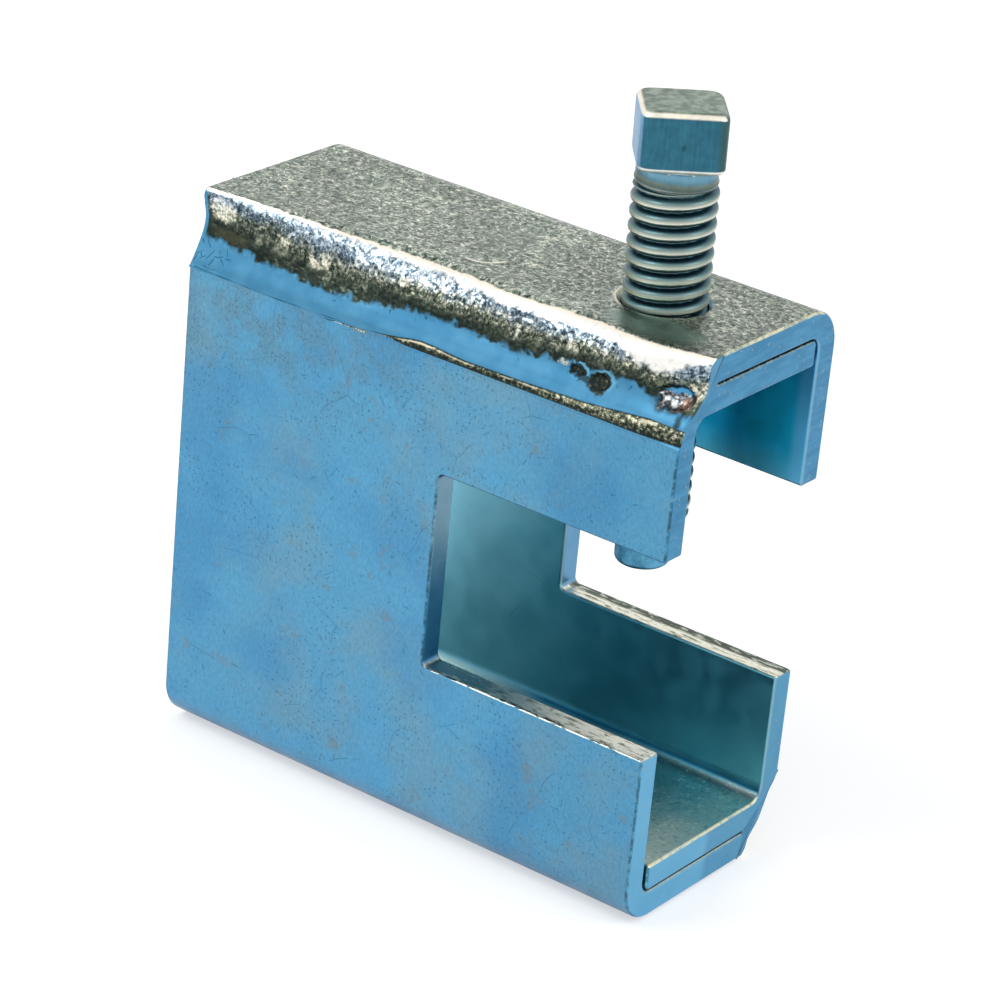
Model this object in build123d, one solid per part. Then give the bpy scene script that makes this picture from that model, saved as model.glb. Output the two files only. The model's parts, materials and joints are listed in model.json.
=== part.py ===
from build123d import *
import os

# Welded beam clamp, sizes in millimetres.
# Two equal pressed channels are nested, one of them turned over, and welded along two long
# corners. A square-head set screw in the upper arm pushes a beam's flange onto the lower arm.
# Frame: +X runs out of the open throat, -Y is the near plate, +Z is up, and the origin is in
# the middle of the underside.

# %% Pressed sheet
sheet = 2.66
inside_bend = 1.5
clamp_length = 56.5
clamp_height = 55.8
inner_width = 19.03

# %% How the two channels lap
lap_gap = 0.15
outer_web_stop = 3.7
inner_web_gap = 0.6

# %% Throat
throat_depth = 25.4
throat_height = 19.7
lower_lip = 17.65
throat_corner = 0.6

# %% Edges that the press tool left
edge_roll = 0.3
web_end_roll = 0.5

# %% Set screw, 5/16 inch with 18 threads to the inch
thread_diameter = 7.94
threads_per_inch = 18
thread_depth = 0.865
crest_width = 0.31
root_width = 0.26
ridge_sink = 0.12
neck_length = 1.9
neck_diameter = 7.62
shank_length = 38.7
dog_diameter = 5.2
dog_length = 3.96
dog_edge = 0.6
head_flats = 7.94
head_height = 5.65
head_corner = 0.85
head_rim = 0.35
head_foot = 0.55
head_turn = 39.5
thread_turn = 118.0

# %% Where the screw stands: its axis leans back from where it crosses the top face
screw_from_front = 10.92
screw_lean = 1.4
head_above_top = 13.05
bore_clearance = 0.05
bore_lip = 0.35

# %% Weld beads
# Each outline is seen from the open end, from just over the top face down to the toe.
# Each value is a depth in from the side plate's face, at the drop below the top face listed first.
bead_drops = [-0.5, 0.5, 1.6, 2.9, 4.3, 5.6, 6.8, 8.1]
bead_start = [2.3, 1.5, 1.6, 1.85, 1.6, 1.0, 0.35, -0.05]
bead_run = [5.3, 3.3, 2.2, 1.6, 1.25, 0.5, -0.1, -0.05]
crater_end = [5.3, 3.9, 3.75, 3.6, 2.4, 0.9, 0.5, -0.05]
lean_end = [5.3, 4.3, 3.85, 2.6, 1.8, 1.2, 0.45, -0.05]
fusion = [(0.0, 7.6), (2.2, 5.3), (5.0, 3.1), (5.6, 0.0)]
# How the crest wanders: the share of the bead's length, and how much further in it stands there.
top_crests = [(0.18, 0.0), (0.37, 0.0), (0.51, 0.3), (0.64, -0.8), (0.76, -0.3), (0.89, -1.1)]
bottom_crests = [(0.2, 0.0), (0.45, 0.1), (0.7, -0.3), (0.9, 0.1)]
crest_pull = [1.0, 0.7, 0.25, 0.0, 0.0, 0.0, 0.0, 0.0]
bead_settles = 0.37
bead_overrun = 0.02
skin_tolerance = 0.02

# %% Sizes that follow from these
clamp_width = inner_width + 2 * sheet
outside_bend = inside_bend + sheet
inner_web_top = clamp_height - sheet - lap_gap
near_face = -clamp_width / 2
back_end = -clamp_length / 2
front_end = clamp_length / 2
screw_x = front_end - screw_from_front
pitch = 25.4 / threads_per_inch
thread_radius = thread_diameter / 2
root_radius = thread_radius - thread_depth
thread_start = dog_length
thread_end = shank_length - neck_length
bore_radius = thread_radius + bore_clearance
standing = (Align.CENTER, Align.CENTER, Align.MIN)


def turned_over(shape):
    """The same shape turned half a turn about the clamp's long axis."""
    middle = Pos(0, 0, clamp_height / 2)
    return middle * Rot(180, 0, 0) * middle.inverse() * shape


def channel_section():
    """The folded sheet seen along X: side plate, outer web below and inner web above."""
    outer_end = -near_face - outer_web_stop
    inner_end = -near_face - sheet - inner_web_gap
    corners = {
        (outer_end, 0): web_end_roll,
        (near_face, 0): outside_bend,
        (near_face, inner_web_top): outside_bend,
        (inner_end, inner_web_top): web_end_roll,
        (inner_end, inner_web_top - sheet): edge_roll,
        (near_face + sheet, inner_web_top - sheet): inside_bend,
        (near_face + sheet, sheet): inside_bend,
        (outer_end, sheet): edge_roll,
    }
    section = Polygon(*corners, align=None)
    for corner, radius in corners.items():
        nearest = section.vertices().sort_by_distance(corner)[0]
        section = fillet(nearest, radius)
    return section


def throat_cutter():
    """The notch in a side plate: open to the front, with small corners at its back."""
    overrun = 2 * throat_corner
    outline = Pos(front_end - throat_depth, lower_lip) * Rectangle(
        throat_depth + overrun, throat_height, align=(Align.MIN, Align.MIN)
    )
    outline = fillet(outline.vertices().group_by(Axis.X)[0], throat_corner)
    reach = sheet + inside_bend
    return extrude(Plane.XZ.offset(-near_face - sheet / 2) * outline, reach, both=True)


def sheared_edges(channel):
    """The edges of the blank's outline: both ends, and the notch on both faces."""
    ends = channel.faces().filter_by(Axis.X).group_by(Axis.X)
    chosen = ends[0].edges() + ends[-1].edges()
    notch_low = lower_lip - edge_roll
    notch_high = lower_lip + throat_height + edge_roll
    for edge in channel.edges():
        centre = edge.center()
        on_plate = min(abs(centre.Y - near_face), abs(centre.Y - near_face - sheet)) < edge_roll / 2
        beside_notch = notch_low < centre.Z < notch_high and centre.X > back_end + sheet
        if on_plate and beside_notch:
            chosen.append(edge)
    return chosen


def pressed_channel():
    """One channel as it comes off the press, before it is nested and welded."""
    section = Plane.YZ.offset(back_end) * channel_section()
    channel = extrude(section, clamp_length, dir=(1, 0, 0))
    channel -= throat_cutter()
    return fillet(sheared_edges(channel), edge_roll)


def screw_place():
    """Where the screw's axis crosses the top face, and how it leans there."""
    return Pos(screw_x, 0, clamp_height) * Rot(0, -screw_lean, 0)


def screw_bore():
    """The hole for the set screw, with the small lip that the tap left at its mouth."""
    depth = 3 * sheet
    lip = Cone(bore_radius, bore_radius + 2 * bore_lip, 2 * bore_lip)
    return screw_place() * (Cylinder(bore_radius, 2 * depth) + lip)


def fusion_zone():
    """Where the beads melted both channels: a prism along the near top corner."""
    clear = outside_bend
    outline = fusion + [(-clear, fusion[-1][1]), (-clear, fusion[0][1])]
    face = Polygon(*[corner_place(p) for p in outline], align=None)
    return extrude(Plane.YZ.offset(back_end) * face, clamp_length, dir=(1, 0, 0))


def corner_place(point):
    """A depth in from the plate's face and a drop from the top, as places along Y and Z."""
    return (near_face + point[0], clamp_height - point[1])


def blend(first, second, share):
    """An outline part of the way from one bead outline to another."""
    return [
        (a[0] + (b[0] - a[0]) * share, a[1] + (b[1] - a[1]) * share) for a, b in zip(first, second)
    ]


def bead_outline(share, shift):
    """The bead's depths at one share of its length, with its crest moved in by that much."""
    settled = min(1, share / bead_settles)
    return [
        start + (run - start) * settled + shift * pull
        for start, run, pull in zip(bead_start, bead_run, crest_pull)
    ]


def bead_skin(crests, last_outline):
    """The bead's free surface, carried a little past the top face, the toe and both ends."""
    outlines = {-bead_overrun: bead_start, 0: bead_start}
    outlines |= {share: bead_outline(share, shift) for share, shift in crests}
    outlines |= {1: last_outline, 1 + bead_overrun: last_outline}
    rows = []
    for share, outline in outlines.items():
        x = back_end + share * clamp_length
        rows.append([(x, *corner_place(point)) for point in zip(outline, bead_drops)])
    return Face.make_surface_from_array_of_points(rows, tol=skin_tolerance)


def weld_bead(crests, last_outline):
    """A bead along the near top corner: the melted zone as far out as the bead's skin."""
    sides = split(fusion_zone(), bisect_by=bead_skin(crests, last_outline), keep=Keep.BOTH)
    return sides.solids().sort_by(Axis.Y)[-1]


def screw_core():
    """The screw without its thread: dog point, root of the thread and neck."""
    dog_radius = dog_diameter / 2
    neck_radius = neck_diameter / 2
    profile = [
        (0, 0),
        (dog_radius, 0),
        (dog_radius, dog_length),
        (root_radius, dog_length),
        (root_radius, thread_end),
        (neck_radius, thread_end + neck_radius - root_radius),
        (neck_radius, shank_length + head_foot),
        (0, shank_length + head_foot),
    ]
    outline = Polygon(*profile, align=None)
    tip_edge = outline.vertices().sort_by_distance((dog_radius, 0))[0]
    outline = fillet(tip_edge, dog_edge)
    return revolve(Plane.XZ * outline, Axis.Z)


def screw_thread():
    """The ridge of the thread: one section swept along one helix, cut off at both ends."""
    base = (pitch - root_width) / 2
    crest = crest_width / 2
    flank = (base - crest) / thread_depth
    foot = base + flank * ridge_sink
    height = thread_depth + ridge_sink
    ridge = Polygon((0, -foot), (height, -crest), (height, crest), (0, foot), align=None)
    thread_length = thread_end - thread_start
    path = Pos(0, 0, thread_start - pitch) * Helix(
        pitch, thread_length + 2 * pitch, root_radius - ridge_sink
    )
    across = Plane(origin=path @ 0, x_dir=(1, 0, 0), z_dir=path % 0)
    coil = sweep(across * ridge, path=path, is_frenet=True)
    return coil & Pos(0, 0, thread_start) * standing_rod(2 * thread_radius, thread_length)


def standing_rod(radius, length):
    """A cylinder that stands on the XY plane."""
    return Cylinder(radius, length, align=standing)


def lead_in():
    """The ring cut away where the thread starts, so that its first turn comes up gently."""
    depth = 2 * thread_depth
    cone = Cone(root_radius, root_radius + depth, depth, align=standing)
    return Pos(0, 0, thread_start) * (standing_rod(2 * thread_radius, depth) - cone)


def screw_head():
    """The square head, with rounded corners, rim and foot."""
    outline = fillet(Rectangle(head_flats, head_flats).vertices(), head_corner)
    head = extrude(outline, head_height)
    head = fillet(head.edges().group_by(Axis.Z)[-1], head_rim)
    head = fillet(head.edges().group_by(Axis.Z)[0], head_foot)
    return Rot(0, 0, head_turn) * Pos(0, 0, shank_length) * head


def set_screw():
    """Square head, neck, thread and dog point, all in one piece."""
    shank = screw_core() + screw_thread() - lead_in()
    screw = Rot(0, 0, thread_turn) * shank + screw_head()
    return screw_place() * Pos(0, 0, head_above_top - shank_length) * screw


def clamp_pieces():
    """Every piece by name, where it stands in the clamp."""
    near = pressed_channel()
    zone = fusion_zone()
    melted = zone + turned_over(zone)
    near_channel = near - melted - screw_bore()
    far_channel = turned_over(near) - melted - screw_bore()
    return {
        "near_channel": near_channel,
        "far_channel": far_channel,
        "top_weld": weld_bead(top_crests, crater_end),
        "bottom_weld": turned_over(weld_bead(bottom_crests, lean_end)),
        "set_screw": set_screw(),
    }


os.makedirs("parts", exist_ok=True)
for name, piece in clamp_pieces().items():
    print(name, piece.is_valid, len(piece.solids()), round(piece.volume, 1))
    export_step(piece, f"parts/{name}.step")
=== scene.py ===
import json
import math

import bpy
import numpy as np
from mathutils import Matrix, Vector


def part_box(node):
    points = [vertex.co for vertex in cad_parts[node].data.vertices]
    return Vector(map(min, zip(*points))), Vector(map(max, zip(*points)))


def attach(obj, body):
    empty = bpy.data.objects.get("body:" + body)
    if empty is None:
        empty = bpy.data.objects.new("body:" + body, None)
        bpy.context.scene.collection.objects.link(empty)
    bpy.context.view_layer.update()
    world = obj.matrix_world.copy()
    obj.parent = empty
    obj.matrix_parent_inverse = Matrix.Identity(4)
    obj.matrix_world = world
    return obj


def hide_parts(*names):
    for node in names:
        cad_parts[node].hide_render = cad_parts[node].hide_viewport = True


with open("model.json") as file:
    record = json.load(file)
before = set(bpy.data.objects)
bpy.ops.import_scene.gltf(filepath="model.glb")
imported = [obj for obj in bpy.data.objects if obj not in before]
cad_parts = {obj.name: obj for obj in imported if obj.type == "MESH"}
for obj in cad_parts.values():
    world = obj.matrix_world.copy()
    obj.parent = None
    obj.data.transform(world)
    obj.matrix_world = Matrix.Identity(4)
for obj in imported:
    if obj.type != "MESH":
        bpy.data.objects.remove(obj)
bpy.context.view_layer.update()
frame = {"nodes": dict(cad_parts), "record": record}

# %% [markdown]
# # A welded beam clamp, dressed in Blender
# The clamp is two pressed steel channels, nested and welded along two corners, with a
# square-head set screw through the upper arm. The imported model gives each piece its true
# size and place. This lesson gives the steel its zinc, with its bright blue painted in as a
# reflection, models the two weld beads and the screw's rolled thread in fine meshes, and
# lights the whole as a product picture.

MM = 0.001
NODES = frame["nodes"]

clamp_low = [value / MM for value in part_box("near_channel")[0]]
clamp_high = [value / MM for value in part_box("far_channel")[1]]
back_end = clamp_low[0]
front_end = clamp_high[0]
near_face = clamp_low[1]
far_face = clamp_high[1]
top_face = clamp_high[2]
clamp_length = front_end - back_end
print("clamp length, width and height in mm:", clamp_length, far_face - near_face, top_face)


# %% [markdown]
# ## The camera
# A product picture of a small part is taken from well back with a long lens, which keeps the
# arms nearly parallel. The place, turn and lens below come from fitting a camera to the
# clamp's straight edges. Aiming by hand would also work, but a fitted view lets every edge
# of the model be laid over the same edge in the picture.

# %% Camera
camera_place = (0.19244, -0.27147, 0.18175)
camera_turn = (65.400, -5.020, 37.427)
camera_lens = 139.15
sensor_width = 36.0
camera_data = bpy.data.cameras.new("picture_camera")
camera_data.lens = camera_lens
camera_data.sensor_width = sensor_width
camera_data.clip_start = 0.01
camera = bpy.data.objects.new("picture_camera", camera_data)
camera.location = camera_place
camera.rotation_euler = [math.radians(angle) for angle in camera_turn]
bpy.context.scene.collection.objects.link(camera)
bpy.context.scene.camera = camera
print("camera stands", round(math.dist(camera_place, (0, 0, 0)), 3), "m from the clamp")


# %% [markdown]
# ## Writing materials with few words
# A material in Blender is a tree of small nodes. Written out one by one they fill pages, so
# a few helpers do the typing: the first adds any node and fills its inputs, and the others do
# sums, soft steps, mixing and noise with it. Colours are given as a screen shows them, from 0
# to 255, and changed into the light values that Blender mixes.

# %% Helpers for node trees
def add(tree, kind, inputs=None, **settings):
    """Adds one node. An input is either a plain value or the output of another node."""
    made = tree.nodes.new(kind)
    for name, value in settings.items():
        setattr(made, name, value)
    for name, value in (inputs or {}).items():
        if isinstance(value, bpy.types.NodeSocket):
            tree.links.new(value, made.inputs[name])
        else:
            made.inputs[name].default_value = value
    return made


def maths(tree, operation, first, second=0.0, third=0.0):
    """One sum on up to three values."""
    return add(tree, "ShaderNodeMath", {0: first, 1: second, 2: third}, operation=operation).outputs[0]


def between(tree, value, low, high, to_low=0.0, to_high=1.0):
    """A value's way from low to high, as a soft step from to_low to to_high."""
    inputs = {"Value": value, "From Min": low, "From Max": high, "To Min": to_low, "To Max": to_high}
    return add(tree, "ShaderNodeMapRange", inputs, interpolation_type="SMOOTHSTEP").outputs[0]


def paint(red, green, blue):
    """A colour given as a screen shows it, changed into the light values that Blender mixes."""
    shown = [value / 255 for value in (red, green, blue)]
    light = [v / 12.92 if v <= 0.04045 else ((v + 0.055) / 1.055) ** 2.4 for v in shown]
    return (*light, 1.0)


def mixed(tree, share, first, second, blend="MIX"):
    """Two colours mixed by a share."""
    inputs = {0: share, 6: first, 7: second}
    return add(tree, "ShaderNodeMix", inputs, data_type="RGBA", blend_type=blend).outputs[2]


def noise(tree, where, grain, detail=2.0, roughness=0.5, distortion=0.0):
    """Cloudy noise whose clouds are about that many millimetres across."""
    inputs = {"Vector": where, "Scale": 1 / grain, "Detail": detail, "Roughness": roughness}
    inputs["Distortion"] = distortion
    return add(tree, "ShaderNodeTexNoise", inputs).outputs[0]


def stretched(tree, where, stretch=(1, 1, 1), shift=(0, 0, 0)):
    """Coordinates on which a pattern grows longer one way, or lies elsewhere."""
    inputs = {"Vector": where, "Scale": [1 / size for size in stretch], "Location": shift}
    return add(tree, "ShaderNodeMapping", inputs).outputs[0]


def new_finish(name):
    """An empty material with its coordinates in millimetres, its normal and its shader."""
    material = bpy.data.materials.new(name)
    material.use_nodes = True
    tree = material.node_tree
    tree.nodes.clear()
    output = add(tree, "ShaderNodeOutputMaterial")
    shader = add(tree, "ShaderNodeBsdfPrincipled", {"Metallic": 1.0})
    tree.links.new(shader.outputs[0], output.inputs[0])
    place = add(tree, "ShaderNodeTexCoord").outputs["Object"]
    where = add(tree, "ShaderNodeVectorMath", {0: place, "Scale": 1 / MM}, operation="SCALE").outputs[0]
    normal = add(tree, "ShaderNodeNewGeometry").outputs["Normal"]
    return material, tree, shader, where, normal


print("helpers ready")


# %% [markdown]
# ## How zinc takes its colour
# Fresh zinc is a cool mirror. On the real clamp its upright faces look sky blue and its upward
# faces grey olive, because each looks into another part of the room. A plain studio has no such
# room, so these reflections are painted into the plating's colour as two tints, chosen by which
# way each bit of surface faces. Scratches and dents lean the surface a little, and so shift the
# painted reflection too.

# %% Painted reflection and shade by facing
# Painted reflection: sky blue on upright faces. Painted shade: the darker blue on faces that look down, and
# dark teal in the weld's toe crease. Cream serves painted highlights and bright scratches.
SKY_REFLECTION_BLUE = paint(90, 155, 192)
DEEP_BLUE = paint(74, 140, 184)
GREY_BLUE = paint(108, 152, 174)
CREAM = paint(240, 238, 220)
DARK_TEAL = paint(28, 70, 90)
UNDERSIDE_SHADE_BLUE = paint(56, 108, 140)


def parts_of(tree, vector):
    """The three numbers of a vector."""
    return add(tree, "ShaderNodeSeparateXYZ", {0: vector}).outputs


def facings(tree, normal):
    """How far a surface looks along +X, towards the near side, and upwards."""
    x, y, z = parts_of(tree, normal)
    return x, maths(tree, "MULTIPLY", y, -1.0), z


def vectors(tree, operation, first, second=(0.0, 0.0, 0.0)):
    """One sum on two vectors."""
    made = add(tree, "ShaderNodeVectorMath", {0: first, 1: second}, operation=operation)
    return made.outputs["Value"] if operation in ("LENGTH", "DISTANCE") else made.outputs["Vector"]


def times(tree, *values):
    """The product of several numbers."""
    product = values[0]
    for value in values[1:]:
        product = maths(tree, "MULTIPLY", product, value)
    return product


def most(tree, *values):
    """The largest of several numbers."""
    largest = values[0]
    for value in values[1:]:
        largest = maths(tree, "MAXIMUM", largest, value)
    return largest


def near_to(tree, value, centre, inner, outer):
    """1 where a value lies within the inner distance of a centre, fading to 0 at the outer one."""
    gap = maths(tree, "ABSOLUTE", maths(tree, "SUBTRACT", value, centre))
    return between(tree, gap, outer, inner)


def coated(tree, colour, *coats):
    """A colour under several coats, each given as its share and its own colour."""
    for share, coat in coats:
        colour = mixed(tree, share, colour, coat)
    return colour


def shaded(tree, colour, factor):
    """A colour made darker or lighter by a factor."""
    return mixed(tree, 1.0, colour, factor, "MULTIPLY")


def shades(*rows):
    """Stops of a ramp, each a place and a colour as a screen shows it."""
    return [(place, paint(*colour)) for place, colour in rows]


def ramp(tree, value, stops):
    """Turns a number into a colour by a row of stops."""
    made = add(tree, "ShaderNodeValToRGB", {"Fac": value})
    elements = made.color_ramp.elements
    while len(elements) < len(stops):
        elements.new(0.5)
    for element, (place, colour) in zip(elements, stops):
        element.position = place
        element.color = colour
    return made.outputs[0]


print("tints ready")


# %% [markdown]
# ## Marks that lie on the plating
# A handled part is covered with marks: pits, nicks, hair-fine scratches and stains. An image
# would fix them at one size. Here scattered points from a Voronoi texture are each given a
# chance and a turn, and become short strokes. The borders between such points become long
# scratches, and a soft spot can be set at a given place where the real clamp has one large mark.

# %% Strokes, scratches and spots
def wavy(tree, where, grain, reach):
    """Coordinates pushed about by up to that many millimetres, so that marks on them bend."""
    inputs = {"Vector": where, "Scale": 1 / grain, "Detail": 2.0}
    cloud = add(tree, "ShaderNodeTexNoise", inputs).outputs["Color"]
    centred = vectors(tree, "SUBTRACT", cloud, (0.5, 0.5, 0.5))
    push = add(tree, "ShaderNodeVectorMath", {0: centred, "Scale": reach * 2}, operation="SCALE").outputs[0]
    return vectors(tree, "ADD", where, push)


def points_about(tree, plane, size, feature="F1"):
    """Scattered points about that many millimetres apart on a plane."""
    inputs = {"Vector": plane, "Scale": 1 / size}
    return add(tree, "ShaderNodeTexVoronoi", inputs, feature=feature, voronoi_dimensions="2D").outputs


def strokes(tree, plane, size, length, width, share):
    """Short marks at random places and turns on a plane: 1 in a mark, 0 elsewhere."""
    field = points_about(tree, plane, size)
    chances = parts_of(tree, field["Color"])
    offset = vectors(tree, "SUBTRACT", plane, field["Position"])
    inputs = {"Vector": offset, "Angle": maths(tree, "MULTIPLY", chances[1], math.tau)}
    turned = add(tree, "ShaderNodeVectorRotate", inputs, rotation_type="Z_AXIS").outputs[0]
    shape = vectors(tree, "MULTIPLY", turned, (2 / length, 2 / width, 0.0))
    mark = between(tree, vectors(tree, "LENGTH", shape), 0.6, 1.15, 1.0, 0.0)
    return maths(tree, "MULTIPLY", maths(tree, "LESS_THAN", chances[0], share), mark)


def hairlines(tree, plane, size, width, share):
    """Long thin wandering scratches on a plane, broken off at random."""
    bent = wavy(tree, plane, size * 1.1, size * 0.45)
    edge = points_about(tree, bent, size, "DISTANCE_TO_EDGE")[0]
    line = between(tree, edge, 0.0, width / size, 1.0, 0.0)
    kept = between(tree, noise(tree, plane, size * 0.5), 0.95 - share, 1.05 - share)
    return maths(tree, "MULTIPLY", line, kept)


def spot(tree, plane, centre, reach, soft=0.5):
    """A patch on a plane, about a centre and with its own reach each way."""
    offset = vectors(tree, "SUBTRACT", plane, (*centre, 0.0))
    shape = vectors(tree, "MULTIPLY", offset, (1 / reach[0], 1 / reach[1], 0.0))
    return between(tree, vectors(tree, "LENGTH", shape), 1 - soft, 1.0, 1.0, 0.0)


print("marks ready")


# %% [markdown]
# ## The sheet's finish
# The channels were cut from rolled coil, pressed and then plated. The sides show short dark
# pits, hair-fine scratches and soft grey clouds. The top is mottled like crushed foil, and the
# mottle is painted as sparkle. The sheared lips have torn streaks along them, painted bright as
# highlights. One material holds all of these and picks by place and by facing, which paints in
# the room's reflections, so it serves both channels and stays right from every side.

# %% The side plates
WORN_BLUE = paint(100, 136, 154)
MARK_BLUE = paint(34, 84, 112)
SMUDGE_GREY = paint(116, 126, 122)


def upright_plane(tree, where):
    """Flat coordinates that serve the side plates and the front faces alike."""
    x, y, z = parts_of(tree, where)
    return add(tree, "ShaderNodeCombineXYZ", {0: maths(tree, "ADD", x, y), 1: z}).outputs[0]


def plate_marks(tree, where, worn, patchy):
    """Dark marks on a side plate: all of them together, and the small pits alone."""
    plane = upright_plane(tree, wavy(tree, where, 0.9, 0.16))
    crowd = between(tree, noise(tree, where, 7.0, 3.0), 0.42, 0.58)
    pits = times(tree, strokes(tree, plane, 0.6, 0.28, 0.14, 0.42), crowd, 0.9)
    nicks = times(tree, strokes(tree, plane, 2.4, 0.7, 0.14, 0.3), 0.8)
    specks = times(tree, between(tree, noise(tree, where, 0.3, 2.0, 0.6), 0.63, 0.70), patchy, 0.8)
    dense = times(tree, strokes(tree, plane, 0.42, 0.45, 0.11, 0.6), worn, patchy, 0.8)
    lines = times(tree, hairlines(tree, upright_plane(tree, where), 10.0, 0.08, 0.46), 0.75)
    return most(tree, pits, nicks, specks, dense, lines), pits


def blue_side(tree, where):
    """Colour and dent depth of the plating on an upright face; its sky blue is a painted reflection."""
    x, _, z = parts_of(tree, where)
    grey = between(tree, noise(tree, where, 9.0, 4.0, 0.6), 0.42, 0.64, 0.0, 0.75)
    elsewhere = stretched(tree, where, shift=(7, 3, 11))
    deep = between(tree, noise(tree, elsewhere, 12.0, 3.0), 0.45, 0.66, 0.0, 0.7)
    worn = times(tree, between(tree, z, 35.0, 45.0), between(tree, x, 12.0, -12.0))
    patchy = between(tree, noise(tree, where, 4.0, 4.0, 0.6), 0.4, 0.6)
    colour = coated(tree, SKY_REFLECTION_BLUE, (grey, GREY_BLUE), (deep, DEEP_BLUE),
                    (times(tree, worn, patchy, 0.6), WORN_BLUE))
    fine = noise(tree, stretched(tree, where, stretch=(1, 1, 2)), 0.26, 3.0, 0.75)
    towards_front = between(tree, x, 6.0, 20.0, 1.0, 0.91)
    colour = shaded(tree, colour, times(tree, between(tree, fine, 0.3, 0.7, 0.90, 1.08), towards_front))
    marks, pits = plate_marks(tree, where, worn, patchy)
    smudge = between(tree, noise(tree, where, 2.2, 3.0), 0.64, 0.74, 0.0, 0.4)
    colour = coated(tree, colour, (times(tree, marks, 0.6), MARK_BLUE), (smudge, SMUDGE_GREY))
    return colour, maths(tree, "MULTIPLY_ADD", fine, 0.1, maths(tree, "MULTIPLY", pits, -1.0))


print("side plates ready")


# %% The mottled top, with painted sparkle
# Painted sparkle: the crushed-foil mottle of the top is shown as dark and bright glints.
FOIL_SPARKLE = shades((0.36, (50, 62, 54)), (0.44, (98, 112, 101)), (0.50, (132, 146, 134)),
              (0.55, (158, 169, 156)), (0.60, (212, 216, 200)), (0.66, (252, 249, 234)))
SCUFF_OLIVE = paint(66, 80, 72)
SWEEP_OLIVE = paint(84, 98, 88)
# A calm patch near the bore, with less grain, painted paler green as a reflection.
PALE_REFLECTION_GREEN = paint(160, 194, 182)
pale_patch_centre = (20.5, -6.0)
pale_patch_reach = (6.0, 3.0)
swept_centre = (-1.0, 1.0)
swept_reach = (3.2, 7.5)
sweep_x = 1.07
sweep_slant = 0.3125
arc_centre = (-0.4, -3.3)
arc_radius = 2.5
bore_centre = (front_end - 10.92, 0.0)
burr_radius = 4.5


def flat_distance(tree, where, centre):
    """How far a point lies from an upright axis."""
    offset = vectors(tree, "SUBTRACT", where, (*centre, 0.0))
    return vectors(tree, "LENGTH", vectors(tree, "MULTIPLY", offset, (1, 1, 0)))


def top_scars(tree, where, colour):
    """The top's own scars: a dull sweep across it, the burr by the bore with a painted highlight on it, and a
    curved scratch.
    """
    x, y, _ = parts_of(tree, where)
    from_sweep = maths(tree, "MULTIPLY_ADD", y, sweep_slant, maths(tree, "SUBTRACT", x, sweep_x))
    sweep = between(tree, maths(tree, "ABSOLUTE", from_sweep), 0.3, 0.1)
    sweep = times(tree, sweep, between(tree, y, -3.6, -2.6), between(tree, y, 7.5, 5.0))
    lit_burr = near_to(tree, flat_distance(tree, where, bore_centre), burr_radius, 0.1, 0.25)
    behind_bore = between(tree, x, bore_centre[0] - 1.5, bore_centre[0] - 3.0)
    lit_burr = times(tree, lit_burr, behind_bore, between(tree, y, 1.5, 0.0))
    arc = near_to(tree, flat_distance(tree, where, arc_centre), arc_radius, 0.08, 0.2)
    arc = times(tree, arc, between(tree, x, arc_centre[0] - 1.2, arc_centre[0]))
    arc = times(tree, arc, between(tree, y, arc_centre[1] + 0.2, arc_centre[1] - 0.6))
    scratch = times(tree, hairlines(tree, where, 8.0, 0.12, 0.42), 0.5)
    return coated(tree, colour, (times(tree, sweep, 0.55), SWEEP_OLIVE), (times(tree, lit_burr, 0.8), CREAM),
                  (most(tree, arc, scratch), CREAM))


def foil_top(tree, where):
    """Colour and dent depth of the plating on an upward face: grey olive as a painted reflection, with
    painted sparkle and painted glints along short dashes.
    """
    # A calm patch with less grain, painted paler as a reflection.
    pale_patch = spot(tree, where, pale_patch_centre, pale_patch_reach, 0.5)
    swept = spot(tree, where, swept_centre, swept_reach, 0.6)
    calm = most(tree, pale_patch, times(tree, swept, 0.45))
    crushed = maths(tree, "SUBTRACT", noise(tree, where, 0.46, 4.0, 0.75, 0.8), 0.5)
    grain = maths(tree, "MULTIPLY_ADD", crushed, between(tree, calm, 0, 1, 1.0, 0.3), 0.5)
    scuffs = times(tree, strokes(tree, where, 1.5, 1.2, 0.16, 0.45), 0.45)
    # Painted glints: short cream dashes.
    glint_dashes = times(tree, strokes(tree, where, 1.1, 0.95, 0.17, 0.5), 0.65)
    colour = coated(tree, ramp(tree, grain, FOIL_SPARKLE), (scuffs, SCUFF_OLIVE), (glint_dashes, CREAM),
                    (times(tree, pale_patch, 0.75), PALE_REFLECTION_GREEN))
    colour = top_scars(tree, where, colour)
    patches = between(tree, noise(tree, where, 6.0, 3.0), 0.4, 0.62, 0.86, 1.08)
    towards_front = between(tree, parts_of(tree, where)[0], 6.0, 24.0, 1.0, 0.84)
    return shaded(tree, colour, times(tree, patches, towards_front)), grain


print("top ready, with its bore at x", round(bore_centre[0], 2))


# %% The lips of the throat
sheet_thickness = 2.66
inner_side = far_face - sheet_thickness
throat_back = front_end - 25.4
lip_low = 17.65


def far_half(tree, y):
    """1 on the far half of the clamp, 0 on the near half."""
    return between(tree, y, -1.0, 1.0)


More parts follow.
